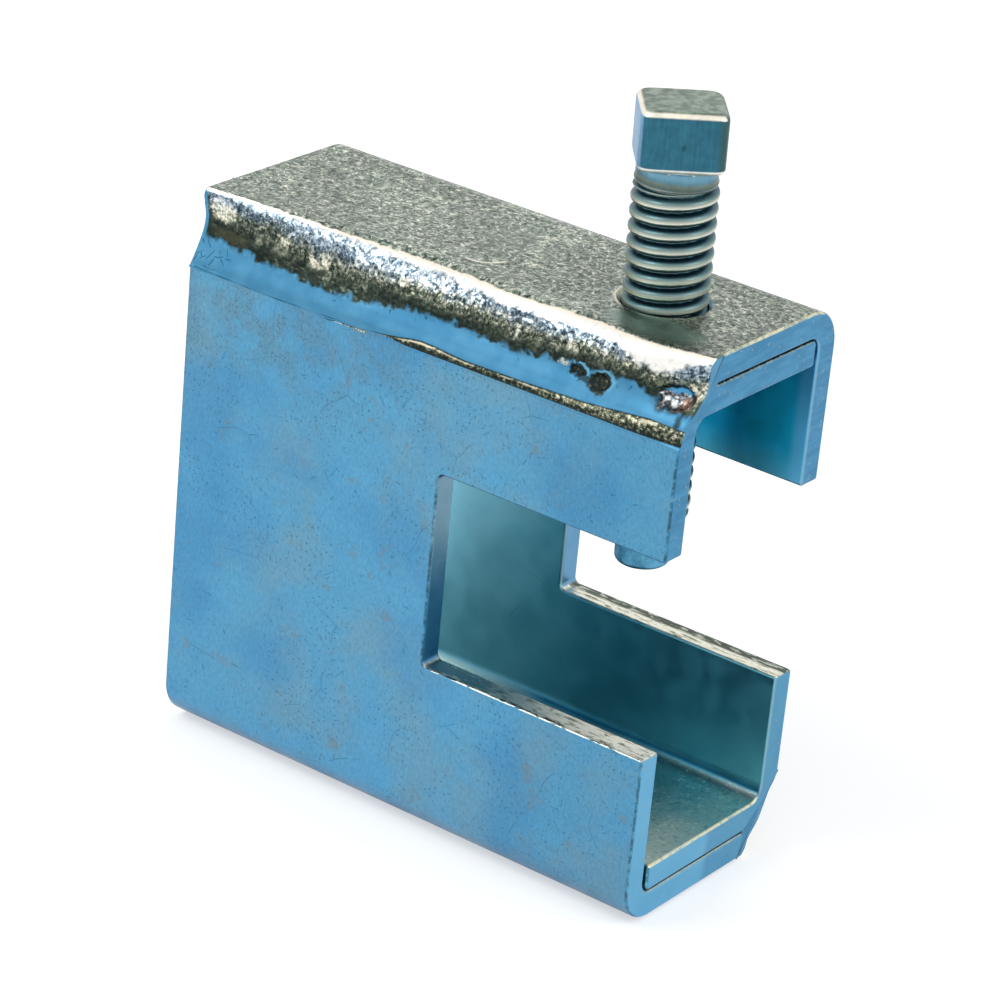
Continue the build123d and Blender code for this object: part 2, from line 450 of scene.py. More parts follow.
def lip_with_highlights(tree, where):
    """Colour of the throat's upward edges, with painted highlights: dull with painted sparkle behind, torn
    streaks painted bright in front.
    """
    x, y, _ = parts_of(tree, where)
    streaks = noise(tree, stretched(tree, where, stretch=(4, 1, 1)), 0.42, 4.0, 0.7, 0.5)

    def streaked(low, high, darker, brighter):
        return mixed(tree, between(tree, streaks, low, high), darker, brighter)

    dull = streaked(0.56, 0.62, paint(128, 162, 166), paint(236, 240, 230))
    torn_and_lit = streaked(0.36, 0.5, paint(128, 132, 112), paint(236, 236, 220))
    lit_burr = streaked(0.42, 0.54, paint(52, 60, 56), CREAM)
    dark = streaked(0.5, 0.6, paint(74, 84, 74), paint(190, 196, 180))
    across = maths(tree, "ABSOLUTE", y)
    in_front = between(tree, maths(tree, "MULTIPLY_ADD", streaks, 8.0, x), 12.0, 17.0)
    outer_rim = between(tree, across, far_face - 0.525, far_face - 0.375)
    near_lip = coated(tree, dull, (in_front, torn_and_lit), (outer_rim, lit_burr))
    ragged = maths(tree, "MULTIPLY_ADD", streaks, 0.8, across)
    far_lip = mixed(tree, between(tree, ragged, 11.1, 11.4), torn_and_lit, dark)
    return mixed(tree, far_half(tree, y), near_lip, far_lip)


print("lips at z", lip_low, "and throat from x", round(throat_back, 2))


# %% The walls and the floor inside
# Painted light inside the throat: the walls are painted paler than the outer plating, palest at the back, and
# the fold at their foot runs from a painted highlight at the back to painted shade in front.
WALL = shades((0.0, (160, 213, 231)), (0.12, (162, 212, 225)), (0.3, (164, 206, 214)),
              (0.5, (144, 194, 204)), (0.85, (100, 174, 192)))
WALL_FOLD = shades((0.15, (206, 224, 216)), (0.6, (30, 104, 130)))
stain_place = (inner_side - 12.0, 10.5)
stain_reach = (0.7, 0.9)


def inner_wall(tree, where, up):
    """Colour of the side plates' inner faces, painted paler as light that falls inside: palest at the back,
    where little light comes in.
    """
    x, y, z = parts_of(tree, where)
    plane = upright_plane(tree, where)
    along = between(tree, x, -20.0, 20.0)
    colour = shaded(tree, ramp(tree, along, WALL), between(tree, z, 26.0, 12.0, 1.0, 1.12))
    in_upper_arm = between(tree, z, 36.0, 42.0)
    by_front_edge = times(tree, between(tree, x, 26.2, 27.2), between(tree, z, 34.0, 36.0),
                          far_half(tree, y))
    fold = times(tree, between(tree, up, 0.2, 0.5), between(tree, z, 12.0, 8.0))
    stain = spot(tree, plane, stain_place, stain_reach, 0.8)
    scratch = hairlines(tree, plane, 12.0, 0.1, 0.4)
    colour = coated(tree, colour, (in_upper_arm, paint(24, 166, 212)),
                    (times(tree, by_front_edge, 0.6), paint(104, 176, 222)),
                    (fold, ramp(tree, along, WALL_FOLD)), (times(tree, stain, 0.7), paint(70, 62, 44)),
                    (times(tree, scratch, 0.25), paint(64, 92, 92)))
    return shaded(tree, colour, between(tree, noise(tree, where, 6.0, 3.0), 0.35, 0.65, 0.92, 1.08))


def trough_floor(tree, where):
    """Colour of the floor inside the lower arm: calm and teal at the back, painted paler towards the mouth as
    light, with painted glints.
    """
    x, y, _ = parts_of(tree, where)
    cloud = noise(tree, where, 1.6, 4.0, 0.65)
    grain = noise(tree, where, 0.4, 3.0, 0.7)
    forward = maths(tree, "MULTIPLY_ADD", cloud, 10.0, maths(tree, "MULTIPLY_ADD", y, -0.35, x))
    glints = times(tree, between(tree, grain, 0.6, 0.68), between(tree, cloud, 0.45, 0.6))
    dents = between(tree, grain, 0.44, 0.36, 0.0, 0.4)
    return coated(tree, paint(104, 148, 150), (between(tree, forward, 22.0, 34.0), paint(190, 200, 188)),
                  (times(tree, glints, 0.7), CREAM), (dents, paint(70, 96, 94)))


print("inside ready, with its walls at y", round(inner_side, 2))


# %% The cut faces and the rolled edges
def cut_front(tree, where):
    """Colour of the sheared front faces and of the throat's two back faces."""
    x, y, z = parts_of(tree, where)
    smear = noise(tree, stretched(tree, where, stretch=(1, 5, 1)), 0.7, 3.0, 0.6)
    low = between(tree, z, 24.0, 20.0)
    chips = strokes(tree, upright_plane(tree, where), 0.9, 0.4, 0.18, 0.22)
    colour = coated(tree, paint(58, 126, 166), (between(tree, smear, 0.35, 0.65), paint(70, 140, 180)),
                    (times(tree, low, between(tree, y, 2.0, 0.0)), paint(98, 168, 204)),
                    (times(tree, low, between(tree, y, 0.0, 2.0)), paint(78, 148, 184)),
                    (times(tree, chips, 0.6), paint(150, 156, 140)))
    # The throat's back faces carry painted shade: darker low down, lighter towards the top.
    throat_wall = coated(tree, paint(62, 124, 162), (between(tree, z, 22.0, 32.0), paint(118, 156, 176)),
                         (far_half(tree, y), paint(98, 150, 186)))
    return mixed(tree, near_to(tree, x, throat_back, 0.3, 0.5), colour, throat_wall)


def sheet_edges(tree, colour, where, front, near, up):
    """The rolled edges, painted by facing: dark and uneven reflections down the front, a cream highlight
    along the top, and shade at the far fold, all painted.
    """
    _, y, z = parts_of(tree, where)
    uneven = between(tree, noise(tree, where, 0.8, 4.0, 0.7), 0.36, 0.6)
    upright = between(tree, maths(tree, "ABSOLUTE", maths(tree, "MULTIPLY", near, front)), 0.15, 0.4)
    near_side = between(tree, y, -8.0, -9.0)
    pale = times(tree, upright, between(tree, near_side, 0, 1, 0.5, 0.0))
    dark = times(tree, upright, uneven, near_side, 0.8)
    at_outer_web = most(tree, between(tree, z, top_face - 0.7, top_face - 0.4),
                        between(tree, z, 6.0, 5.6), 0.12)
    at_outer_web = times(tree, at_outer_web, between(tree, z, 4.4, 4.8, 0.15, 1.0))
    ledge_highlight = between(tree, maths(tree, "MULTIPLY", up, front), 0.12, 0.4)
    ledge_highlight = times(tree, ledge_highlight, between(tree, uneven, 0, 1, 0.4, 1), at_outer_web)
    far_fold_shade = times(tree, between(tree, near, -0.15, -0.5), between(tree, up, 0.1, 0.4))
    return coated(tree, colour, (pale, paint(142, 168, 178)), (dark, paint(44, 78, 88)),
                  (ledge_highlight, paint(222, 220, 188)), (times(tree, far_fold_shade, 0.75), paint(44, 84, 98)))


print("edges ready")


# %% One finish for both channels
def sheet_finish():
    """The one material of both channels."""
    material, tree, shader, where, normal = new_finish("zinc_sheet_finish")
    front, near, up = facings(tree, normal)
    _, y, z = parts_of(tree, where)
    side_colour, side_depth = blue_side(tree, where)
    top_colour, top_depth = foil_top(tree, where)
    inside = between(tree, maths(tree, "ABSOLUTE", y), inner_side + 0.25, inner_side + 0.1)
    side_colour = mixed(tree, inside, side_colour, inner_wall(tree, where, up))
    at_lip = near_to(tree, z, lip_low + 0.4, 0.9, 1.0)
    top_colour = coated(tree, top_colour, (between(tree, z, 8.0, 7.0), trough_floor(tree, where)),
                        (at_lip, lip_with_highlights(tree, where)))
    # Painted reflections by facing: upward faces take the top's grey olive, faces that look down take painted
    # shade, and faces towards +X take the cut fronts' colour.
    upward = between(tree, up, 0.5, 0.85)
    colour = coated(tree, side_colour, (upward, top_colour), (between(tree, up, -0.3, -0.9), UNDERSIDE_SHADE_BLUE),
                    (between(tree, front, 0.6, 0.9), cut_front(tree, where)))
    colour = sheet_edges(tree, colour, where, front, near, up)
    side_depth = times(tree, side_depth, maths(tree, "SUBTRACT", 1.0, inside))
    depth = mixed(tree, upward, side_depth, top_depth)
    bump = add(tree, "ShaderNodeBump", {"Height": depth, "Strength": 0.3, "Distance": 0.00012})
    rough = between(tree, noise(tree, where, 3.0, 3.0), 0.3, 0.7, 0.30, 0.42)
    tree.links.new(colour, shader.inputs["Base Color"])
    tree.links.new(bump.outputs[0], shader.inputs["Normal"])
    tree.links.new(rough, shader.inputs["Roughness"])
    return material


sheet = sheet_finish()
for channel in ("near_channel", "far_channel"):
    NODES[channel].data.materials.clear()
    NODES[channel].data.materials.append(sheet)
    print(channel, "has", len(NODES[channel].data.polygons), "faces and one zinc finish")


# %% [markdown]
# ## Trees that shape a mesh
# Geometry Nodes can bend, wrap and dent a mesh by rule, and keep every size as a named input.
# The result is baked: the evaluated mesh is copied into a plain object, and the tree stays
# behind. A baked mesh is heavier than its rule, but every other program can read it.

# %% Helpers that build and bake a geometry tree
def new_shape_tree(name, sizes):
    """A geometry tree that takes one named number for each size, and a finish."""
    tree = bpy.data.node_groups.new(name, "GeometryNodeTree")
    face = tree.interface
    face.new_socket("Geometry", in_out="OUTPUT", socket_type="NodeSocketGeometry")
    face.new_socket("Geometry", in_out="INPUT", socket_type="NodeSocketGeometry")
    for size in sizes:
        face.new_socket(size, in_out="INPUT", socket_type="NodeSocketFloat")
    face.new_socket("finish", in_out="INPUT", socket_type="NodeSocketMaterial")
    given = tree.nodes.new("NodeGroupInput").outputs
    return tree, given


def end_tree(tree, shape, finish):
    """Realizes, sets the finish and hands the geometry out."""
    real = add(tree, "GeometryNodeRealizeInstances", {0: shape}).outputs[0]
    dressed = add(tree, "GeometryNodeSetMaterial", {"Geometry": real, "Material": finish}).outputs[0]
    tree.links.new(dressed, add(tree, "NodeGroupOutput").inputs[0])


def named(tree, attribute):
    """A number that the mesh carries at each of its points."""
    made = add(tree, "GeometryNodeInputNamedAttribute", {"Name": attribute}, data_type="FLOAT")
    return made.outputs["Attribute"]


def baked(name, mesh, tree, values):
    """Runs a tree on a mesh and gives back the result as a plain object."""
    source = bpy.data.objects.new(name + "_source", mesh)
    bpy.context.scene.collection.objects.link(source)
    modifier = source.modifiers.new("shape", "NODES")
    modifier.node_group = tree
    for item in tree.interface.items_tree:
        if item.in_out == "INPUT" and item.name in values:
            modifier[item.identifier] = values[item.name]
    view = bpy.context.evaluated_depsgraph_get()
    result = bpy.data.meshes.new_from_object(source.evaluated_get(view), depsgraph=view)
    source.modifiers.clear()
    bpy.data.objects.remove(source)
    piece = bpy.data.objects.new(name, result)
    result.name = name
    bpy.context.scene.collection.objects.link(piece)
    return piece


# %% [markdown]
# ## The weld beads
# Each bead ran along the corner from the back end to the front. It wets the top web in a
# smooth crest, painted white as a highlight, freezes below that in small hammered dents, and
# flows out over the side plate in a thin skirt, painted blue as a reflection. Towards the front
# the skirt ends in a narrow rolled ridge, and where the arc stopped there is a crater. The
# outlines below are the part's own. A mesh laid through them can carry all these marks,
# because it knows where each point lies on the bead.

# %% Outlines of the bead, as depths in from the side plate at drops below the top
bead_drops = (-0.5, 0.5, 1.6, 2.9, 4.3, 5.6, 6.8, 8.1)
bead_start = (2.3, 1.5, 1.6, 1.85, 1.6, 1.0, 0.35, -0.05)
bead_run = (5.3, 3.3, 2.2, 1.6, 1.25, 0.5, -0.1, -0.05)
crater_end = (5.3, 3.9, 3.75, 3.6, 2.4, 0.9, 0.5, -0.05)
lean_end = (5.3, 4.3, 3.85, 2.6, 1.8, 1.2, 0.45, -0.05)
crest_pull = (1.0, 0.7, 0.25, 0.0, 0.0, 0.0, 0.0, 0.0)
top_crests = ((0.18, 0.0), (0.37, 0.0), (0.51, 0.3), (0.64, -0.8), (0.76, -0.3), (0.89, -1.1))
bottom_crests = ((0.2, 0.0), (0.45, 0.1), (0.7, -0.3), (0.9, 0.1))
bead_settles = 0.37
fused_side = ((0.0, 7.6), (2.2, 5.3), (5.0, 3.1), (5.6, 0.0))
fused_tuck = 0.05
toe_drop = 7.6


def smooth_through(places, values, at):
    """A smooth curve through values at rising places, read at many places at once."""
    places = np.asarray(places, float)
    values = np.asarray(values, float)
    slopes = np.gradient(values, places, axis=0)
    at = np.clip(at, places[0], places[-1])
    left = np.clip(np.searchsorted(places, at) - 1, 0, len(places) - 2)
    columns = at.shape + (1,) * (values.ndim - 1)
    gap = (places[left + 1] - places[left]).reshape(columns)
    way = (at - places[left]).reshape(columns) / gap
    ease = way * way * (3 - 2 * way)
    leaving = (way**3 - 2 * way**2 + way) * gap * slopes[left]
    arriving = (way**3 - way**2) * gap * slopes[left + 1]
    return values[left] * (1 - ease) + values[left + 1] * ease + leaving + arriving


def bead_rows(crests, last_outline):
    """The bead's outlines from the back end to the front, with the share where each one lies."""
    start, run, pull = (np.array(values) for values in (bead_start, bead_run, crest_pull))
    shares = [0.0] + [share for share, shift in crests] + [1.0]
    rows = [start]
    for share, shift in crests:
        rows.append(start + (run - start) * min(1, share / bead_settles) + shift * pull)
    rows.append(np.array(last_outline))
    return shares, rows


print("bead outlines:", len(bead_drops), "drops,", len(top_crests) + 2, "stations")


# %% Lines that part the bead's zones, each as millimetres from the back end and drops
foil_line = ((0, 0.0), (8, 0.1), (16, 0.3), (28, 0.35), (38, 0.2), (48, 0.1), (56.5, 0.05))
crest_line = ((0, 0.22), (8, 0.35), (18, 0.5), (24, 0.75), (30, 1.0), (38, 0.95), (44, 0.9),
              (47.5, 0.9), (49.5, 1.4), (51.5, 2.0), (53.5, 1.8), (55.5, 0.8), (56.5, 0.45))
border_line = ((0, 4.6), (3, 4.85), (7, 5.05), (14, 5.3), (20, 5.3), (25, 4.4), (32, 4.3),
               (38, 4.6), (44, 3.8), (50, 3.6), (54, 4.7), (56.5, 5.0))
toe_line = ((0, 7.45), (10, 7.6), (21, 7.3), (23.5, 7.08), (25.5, 6.78), (26.8, 6.52), (28, 6.4),
            (29.5, 6.44), (31.5, 6.6), (33, 6.68), (41, 6.53), (46, 6.37), (50, 6.06), (53, 5.83),
            (56.5, 6.0))
ridge_foot = 7.25
ridge_from = 22.5
ridge_full = 26.5
ridge_height = 0.13
bead_stands_proud = 0.045
crater_centre = (54.1, 3.85)
crater_reach = (1.9, 1.0)
crater_depth = 0.45
pits = ((44.3, 4.2, 1.0), (46.9, 4.5, 1.35))
pit_depth = 0.35


def soft_step(value, low, high):
    """0 below low, 1 above high, and a soft rise between them."""
    way = np.clip((value - low) / (high - low), 0, 1)
    return way * way * (3 - 2 * way)


def bead_zones(along, drop):
    """Where each point lies on the bead: its band, and how much it is crest, ridge or pit."""
    foil, crest, border, toe = (
        np.interp(along, *zip(*line)) for line in (foil_line, crest_line, border_line, toe_line)
    )
    band = np.where(drop < border, drop / border, 1 + (drop - border) / (toe - border))
    band = np.where(drop < toe, band, 2 + (drop - toe) / (ridge_foot - toe))
    across = np.clip(1 - (2 * (band - 2) - 1) ** 2, 0, 1) * (band > 2)
    away_along = (along - crater_centre[0]) / crater_reach[0]
    away_down = (drop - crater_centre[1]) / crater_reach[1]
    pit = np.zeros_like(drop)
    for x, low, reach in pits:
        from_pit = np.hypot(along - x, (drop - low) * 1.3)
        pit = np.maximum(pit, 1 - soft_step(from_pit, reach * 0.45, reach * 0.8))
    return {
        "band": band,
        "foil": foil - drop,
        "crest": np.clip(1 - drop / (2 * crest), 0, 1),
        "ridge": across * soft_step(along, ridge_from, ridge_full),
        "crater": 1 - soft_step(away_along**2 + away_down**2, 0.35, 1.1),
        "pit": pit,
    }


print("zones meet at drops", border_line[0][1], "to", border_line[-1][1], "mm")


# %% The bead's mesh
skin_step = 0.085
length_step = 0.1
end_roll = 0.25
end_steps = (0.0, 0.02, 0.06, 0.12, 0.19, 0.27)
strip_shares = (0.98, 0.7, 0.35, 0.06)
sink = 0.004
toe_fade = 1.2
flush_fade = 0.4
first_drop = 0.03
top_fade = 1.0


def store(mesh, name, values):
    """Keeps one number for each point of a mesh."""
    kept = mesh.attributes.new(name, "FLOAT", "POINT")
    kept.data.foreach_set("value", np.ascontiguousarray(values, dtype=np.float32).ravel())


def bead_stations():
    """Places along the bead, closer together where its two ends are rolled over."""
    ends = np.array(end_steps)
    inner = np.arange(ends[-1] + length_step, clamp_length - ends[-1], length_step)
    return np.concatenate([ends, inner, clamp_length - ends[::-1]])


def bead_skin(along, crests, last_outline):
    """Depths of the free surface at every station and drop, with its ridge, crater and pits."""
    shares, outlines = bead_rows(crests, last_outline)
    drops = np.concatenate([[0.0, first_drop], np.arange(skin_step, toe_drop, skin_step), [toe_drop]])
    rows = smooth_through(shares, outlines, along / clamp_length)
    depth = np.maximum(smooth_through(bead_drops, rows.T, drops).T, -bead_stands_proud)
    drop, place = np.meshgrid(drops, along)
    zones = bead_zones(place, drop)
    depth += crater_depth * zones["crater"] + pit_depth * zones["pit"] - ridge_height * zones["ridge"]
    flush = soft_step(drop, toe_drop - flush_fade, toe_drop)
    return drop, depth * (1 - flush) - sink * flush, zones


def rolled_ends(along, drop, depth):
    """The skin drawn in along its own normal near both ends."""
    from_end = np.minimum(along, clamp_length - along)[:, None]
    inset = end_roll - np.sqrt(end_roll**2 - np.clip(end_roll - from_end, 0, end_roll) ** 2)
    slope = np.gradient(depth, axis=1) / np.gradient(drop, axis=1)
    steep = np.sqrt(1 + slope**2)
    drawn_in = inset * (1 - soft_step(drop, toe_drop - toe_fade, toe_drop))
    drop = np.minimum(drop - drawn_in * slope / steep, toe_drop)
    deep, low = zip(*fused_side[::-1])
    fused_depth = np.interp(drop, low, deep)
    return drop, np.minimum(depth + drawn_in / steep, fused_depth - sink), inset


def bead_ring_mesh(name, points, count, ring):
    """A closed mesh from rings of points, one ring for each station along the bead."""
    rows = np.arange(count - 1)[:, None] * ring
    here = (rows + np.arange(ring)).ravel()
    after = (rows + (np.arange(ring) + 1) % ring).ravel()
    walls = np.stack([here, after, after + ring, here + ring], axis=1)
    ends = [list(range(ring))[::-1], list(range((count - 1) * ring, count * ring))]
    mesh = bpy.data.meshes.new(name)
    mesh.from_pydata(points.tolist(), [], walls.tolist() + ends)
    mesh.polygons.foreach_set("use_smooth", [True] * len(walls) + [False, False])
    return mesh


def bead_mesh(name, crests, last_outline):
    """A closed mesh of one bead along the near top corner, with its zones as attributes."""
    along = bead_stations()
    drop, depth, zones = bead_skin(along, crests, last_outline)
    drop, depth, inset = rolled_ends(along, drop, depth)
    reach = fused_side[-1][0]
    strip = depth[:, :1] + (reach - depth[:, :1]) * np.array(strip_shares)
    fused = np.array(fused_side)
    from_end = np.minimum(along, clamp_length - along)[:, None]
    tucked = soft_step(from_end, 0.0, end_steps[2])
    # The tuck fades to nothing at the top face, so that no step shows there.
    hidden = np.minimum(fused[:, 1], top_fade)
    fused_depths = fused[:, 0] + tucked * hidden * fused_tuck
    fused_drops = fused[:, 1] + tucked * hidden * fused_tuck
    depths = np.concatenate([strip, depth, fused_depths], axis=1)
    drops = np.concatenate([inset * np.ones(len(strip_shares)), drop, fused_drops], axis=1)
    count, ring = depths.shape
    places = np.repeat(back_end + along, ring)
    points = np.stack([places, near_face + depths.ravel(), top_face - drops.ravel()], axis=1) * MM
    mesh = bead_ring_mesh(name, points, count, ring)
    padding = ((0, 0), (len(strip_shares), len(fused_side)))
    band = np.pad(zones["band"], padding, mode="edge")
    band[:, : len(strip_shares)] = -1
    crest = np.pad(zones["crest"], padding, mode="edge")
    ridge = np.pad(zones["ridge"], padding)
    hammered = soft_step(band, 0.03, 0.2) * (1 - soft_step(band, 0.85, 1.15))
    hammered *= 1 - 0.75 * soft_step(crest, 0.4, 0.6)
    dented = np.maximum(hammered, 0.3 * ridge) * soft_step(from_end, 0.1, 0.8)
    dented[:, -len(fused_side):] = 0
    foil = np.pad(zones["foil"], padding, mode="edge")
    carried_numbers = {"band": band, "crest": crest, "dented": dented, "foil": foil,
                       "along": along[:, None] * np.ones(ring),
                       "drop": np.pad(drop, padding, mode="edge")}
    for zone, values in carried_numbers.items():
        store(mesh, zone, values)
    return mesh


def dent_tree():
    """Moves each dented point along its normal by two sizes of noise."""
    sizes = ["dent depth", "dent size", "lump depth", "lump size", "seed"]
    tree, given = new_shape_tree("weld_dents", sizes)
    place = add(tree, "GeometryNodeInputPosition").outputs[0]
    moves = []
    for kind in ("dent", "lump"):
        scale = maths(tree, "DIVIDE", MM**-1, given[kind + " size"])
        inputs = {"Vector": place, "W": given["seed"], "Scale": scale, "Detail": 2.0}
        cloud = add(tree, "ShaderNodeTexNoise", inputs, noise_dimensions="4D").outputs[0]
        height = maths(tree, "SUBTRACT", cloud, 0.5)
        moves.append(maths(tree, "MULTIPLY", height, maths(tree, "MULTIPLY", given[kind + " depth"], MM * 2)))
    move = maths(tree, "MULTIPLY", maths(tree, "ADD", *moves), named(tree, "dented"))
    normal = add(tree, "GeometryNodeInputNormal").outputs[0]
    offset = add(tree, "ShaderNodeVectorMath", {0: normal, "Scale": move}, operation="SCALE").outputs[0]
    moved = add(tree, "GeometryNodeSetPosition", {"Geometry": given["Geometry"], "Offset": offset}).outputs[0]
    end_tree(tree, moved, given["finish"])
    return tree


# %% [markdown]
# ## The weld's finish
# The same zinc covers the bead, but its surface is cast, not rolled. The crest is smooth, with a
# painted highlight. The dents scatter light into white, steel blue and cream flecks, and run into
# dark olive where they turn under; all of this is painted light and shade. One painted tone, from
# dark to bright, is worked out from the band, from the way each bit faces and from noise, and a
# colour ramp turns that tone into metal.

# %% The dented metal
def carried(tree, name):
    """A number that the mesh carries, for use in a material."""
    return add(tree, "ShaderNodeAttribute", attribute_name=name).outputs["Fac"]


def greys(*rows):
    """Stops of a ramp, each a place and a plain number."""
    return [(place, (value, value, value, 1.0)) for place, value in rows]


# Painted light and shade on the dents: the level darkens down the band as painted shade, and the two ramps
# turn the tone into painted highlights and shade.
BAND_SHADE_LEVEL = greys((0.0, 0.56), (0.2, 0.46), (0.42, 0.43), (0.56, 0.34), (0.68, 0.16), (0.9, 0.06))
LIVELINESS = greys((0.0, 0.8), (0.3, 1.0), (0.5, 0.95), (0.62, 0.5), (0.75, 0.15))
UPPER_DENTS = shades((0.0, (30, 42, 50)), (0.25, (78, 96, 110)), (0.45, (132, 150, 164)),
                     (0.62, (184, 198, 206)), (0.92, (250, 250, 248)))
LOWER_DENTS = shades((0.0, (34, 44, 40)), (0.25, (76, 86, 74)), (0.45, (132, 138, 122)),
                     (0.62, (200, 198, 178)), (0.85, (250, 247, 230)))


def about_middle(tree, value, strength, base):
    """Noise taken about its middle, made that strong and added to a base."""
    return maths(tree, "MULTIPLY_ADD", maths(tree, "SUBTRACT", value, 0.5), strength, base)


def dented_zinc(tree, where, plane, band, up):
    """Colour of the bead above its skirt, from under the crest to the dark border, as painted light and shade
    on the dents.
    """
    facet = noise(tree, where, 0.55, 2.0, 0.6, 0.8)
    grain = noise(tree, where, 0.3, 3.0, 0.7, 0.5)
    at_back = between(tree, parts_of(tree, plane)[0], 16.0, 6.0, 0.0, 0.16)
    deeper = about_middle(tree, noise(tree, where, 1.5, 3.0, 0.6), 0.45, maths(tree, "ADD", band, at_back))
    scaled = maths(tree, "MULTIPLY", deeper, 0.8)
    flicker = maths(tree, "MULTIPLY", maths(tree, "SUBTRACT", facet, 0.5), 1.3)
    flicker = about_middle(tree, grain, 1.7, flicker)
    # Painted light by facing: the tone rises where a dent faces up; a white spot at the back end and cream
    # clusters add painted highlights.
    lean = maths(tree, "MULTIPLY", maths(tree, "SUBTRACT", up, 0.55), 0.3)
    white_end = spot(tree, wavy(tree, plane, 0.8, 0.3), (2.3, 1.8), (1.9, 1.5), 0.4)
    cluster = between(tree, noise(tree, where, 1.9, 2.0), 0.56, 0.66)
    cluster = times(tree, cluster, between(tree, band, 0.3, 0.45), between(tree, band, 0.85, 0.7))
    brighter = maths(tree, "ADD", times(tree, white_end, 0.4), times(tree, cluster, 0.3))
    steady = maths(tree, "ADD", ramp(tree, scaled, BAND_SHADE_LEVEL), maths(tree, "ADD", lean, brighter))
    tone = maths(tree, "MULTIPLY_ADD", flicker, ramp(tree, scaled, LIVELINESS), steady)
    brown = spot(tree, wavy(tree, plane, 0.8, 0.5), (3.6, 4.0), (3.2, 0.8), 0.7)
    metal = coated(tree, ramp(tree, tone, UPPER_DENTS),
                   (between(tree, deeper, 0.3, 0.6), ramp(tree, tone, LOWER_DENTS)),
                   (times(tree, brown, 0.2), paint(122, 118, 90)))
    return metal, facet


print("dented metal ready")


# %% The rolled ridge and the skirt
RIDGE = shades((0.38, (34, 44, 40)), (0.48, (62, 70, 58)), (0.56, (118, 122, 102)),
               (0.63, (176, 176, 152)), (0.72, (228, 226, 206)))
ridge_start = ((27.4, 6.6), (2.6, 1.2))
end_lump = ((55.8, 6.5), (0.4, 0.5))
end_stem = ((55.5, 5.4), (0.5, 0.9))
scratched_end = ((1.8, 6.0), (3.4, 1.7))


def ridge_zinc(tree, where, plane, band):
    """Colour of the rolled ridge at the toe: dark olive with silver flecks, creamier to the front, with a
    painted highlight line along its top and painted shadow lines at its edges.
    """
    along = parts_of(tree, plane)[0]
    across = maths(tree, "SUBTRACT", band, 2.0)
    creamier = between(tree, along, 36.0, 46.0, -0.04, 0.015)
    higher = between(tree, across, 0.2, 0.75, 0.03, -0.06)
    grain = maths(tree, "ADD", noise(tree, where, 0.34, 3.0, 0.65), maths(tree, "ADD", creamier, higher))
    patchy = between(tree, noise(tree, where, 2.0, 2.0), 0.46, 0.6)
    lit = most(tree, spot(tree, plane, *ridge_start, 0.4), times(tree, patchy, 0.7))
    # A painted highlight line along the ridge's top, and painted shadow lines along both its edges.
    line = times(tree, between(tree, across, 0.02, 0.10), between(tree, across, 0.30, 0.16), lit)
    shadow_lines = most(tree, between(tree, across, 0.05, 0.0), between(tree, across, 0.80, 1.0))
    lump = spot(tree, wavy(tree, plane, 0.5, 0.35), *end_lump, 0.8)
    lump = times(tree, lump, between(tree, grain, 0.45, 0.6))
    return coated(tree, ramp(tree, grain, RIDGE), (times(tree, line, 0.75), paint(222, 216, 190)),
                  (times(tree, shadow_lines, 0.85), paint(28, 40, 42)), (lump, paint(220, 216, 200)))


def skirt_zinc(tree, where, plane, band):
    """Colour of the smooth skirt, its blue a painted reflection: specks under its border, scratches at the
    back end.
    """
    cloud = between(tree, noise(tree, where, 2.5, 3.0), 0.35, 0.65)
    bent = wavy(tree, plane, 1.5, 0.4)
    few = times(tree, strokes(tree, bent, 1.3, 0.5, 0.22, 0.55), between(tree, band, 1.4, 1.1))
    many = times(tree, strokes(tree, bent, 0.8, 1.5, 0.12, 0.8), spot(tree, plane, *scratched_end, 0.5))
    return coated(tree, paint(72, 135, 172), (cloud, paint(84, 146, 181)),
                  (times(tree, most(tree, few, many), 0.75), paint(28, 78, 104)))


print("ridge and skirt ready")


# %% The crater and the gas pits
# Burnt metal, with painted shade in the hollows of the crater and the pits.
BURNT_AND_SHADE = shades((0.36, (24, 38, 42)), (0.56, (50, 58, 52)), (0.66, (86, 82, 66)), (0.78, (170, 170, 156)))
MOLTEN = shades((0.34, (36, 40, 40)), (0.47, (78, 84, 86)), (0.56, (126, 132, 136)),
                (0.66, (190, 196, 200)), (0.76, (245, 246, 248)))
RUST = shades((0.35, (92, 76, 66)), (0.65, (168, 122, 104)))
# Each drop of metal in the crater, painted white as a highlight: its place from the crater's centre, and its
# reach.
drops_with_highlights = ((-1.35, 0.0, 0.3), (-0.75, 0.35, 0.42), (0.05, 0.15, 0.26), (0.1, 0.6, 0.38))


def gas_pits(tree, colour, bent, burnt_and_shaded, speckle):
    """The two pits, burnt and painted dark as shade in their hollows, each under a painted blue highlight on
    its rim, with a bridge between them and a glint behind.
    """
    for x, drop, reach in pits:
        rim_highlight = spot(tree, bent, (x + 0.3, drop - 0.22), (reach * 1.08, reach * 0.86), 0.25)
        hole = spot(tree, bent, (x, drop), (reach * 1.05, reach * 0.8), 0.3)
        colour = coated(tree, colour, (times(tree, rim_highlight, 0.75), paint(112, 182, 216)), (hole, burnt_and_shaded))
    bridge = spot(tree, bent, ((pits[0][0] + pits[1][0]) / 2, 4.7), (1.1, 0.4), 0.5)
    glint = spot(tree, bent, (pits[0][0] - 1.6, pits[0][1] - 0.35), (0.6, 0.35), 0.6)
    glint = times(tree, glint, between(tree, speckle, 0.42, 0.58))
    return coated(tree, colour, (times(tree, bridge, 0.8), burnt_and_shaded), (glint, paint(206, 200, 176)))


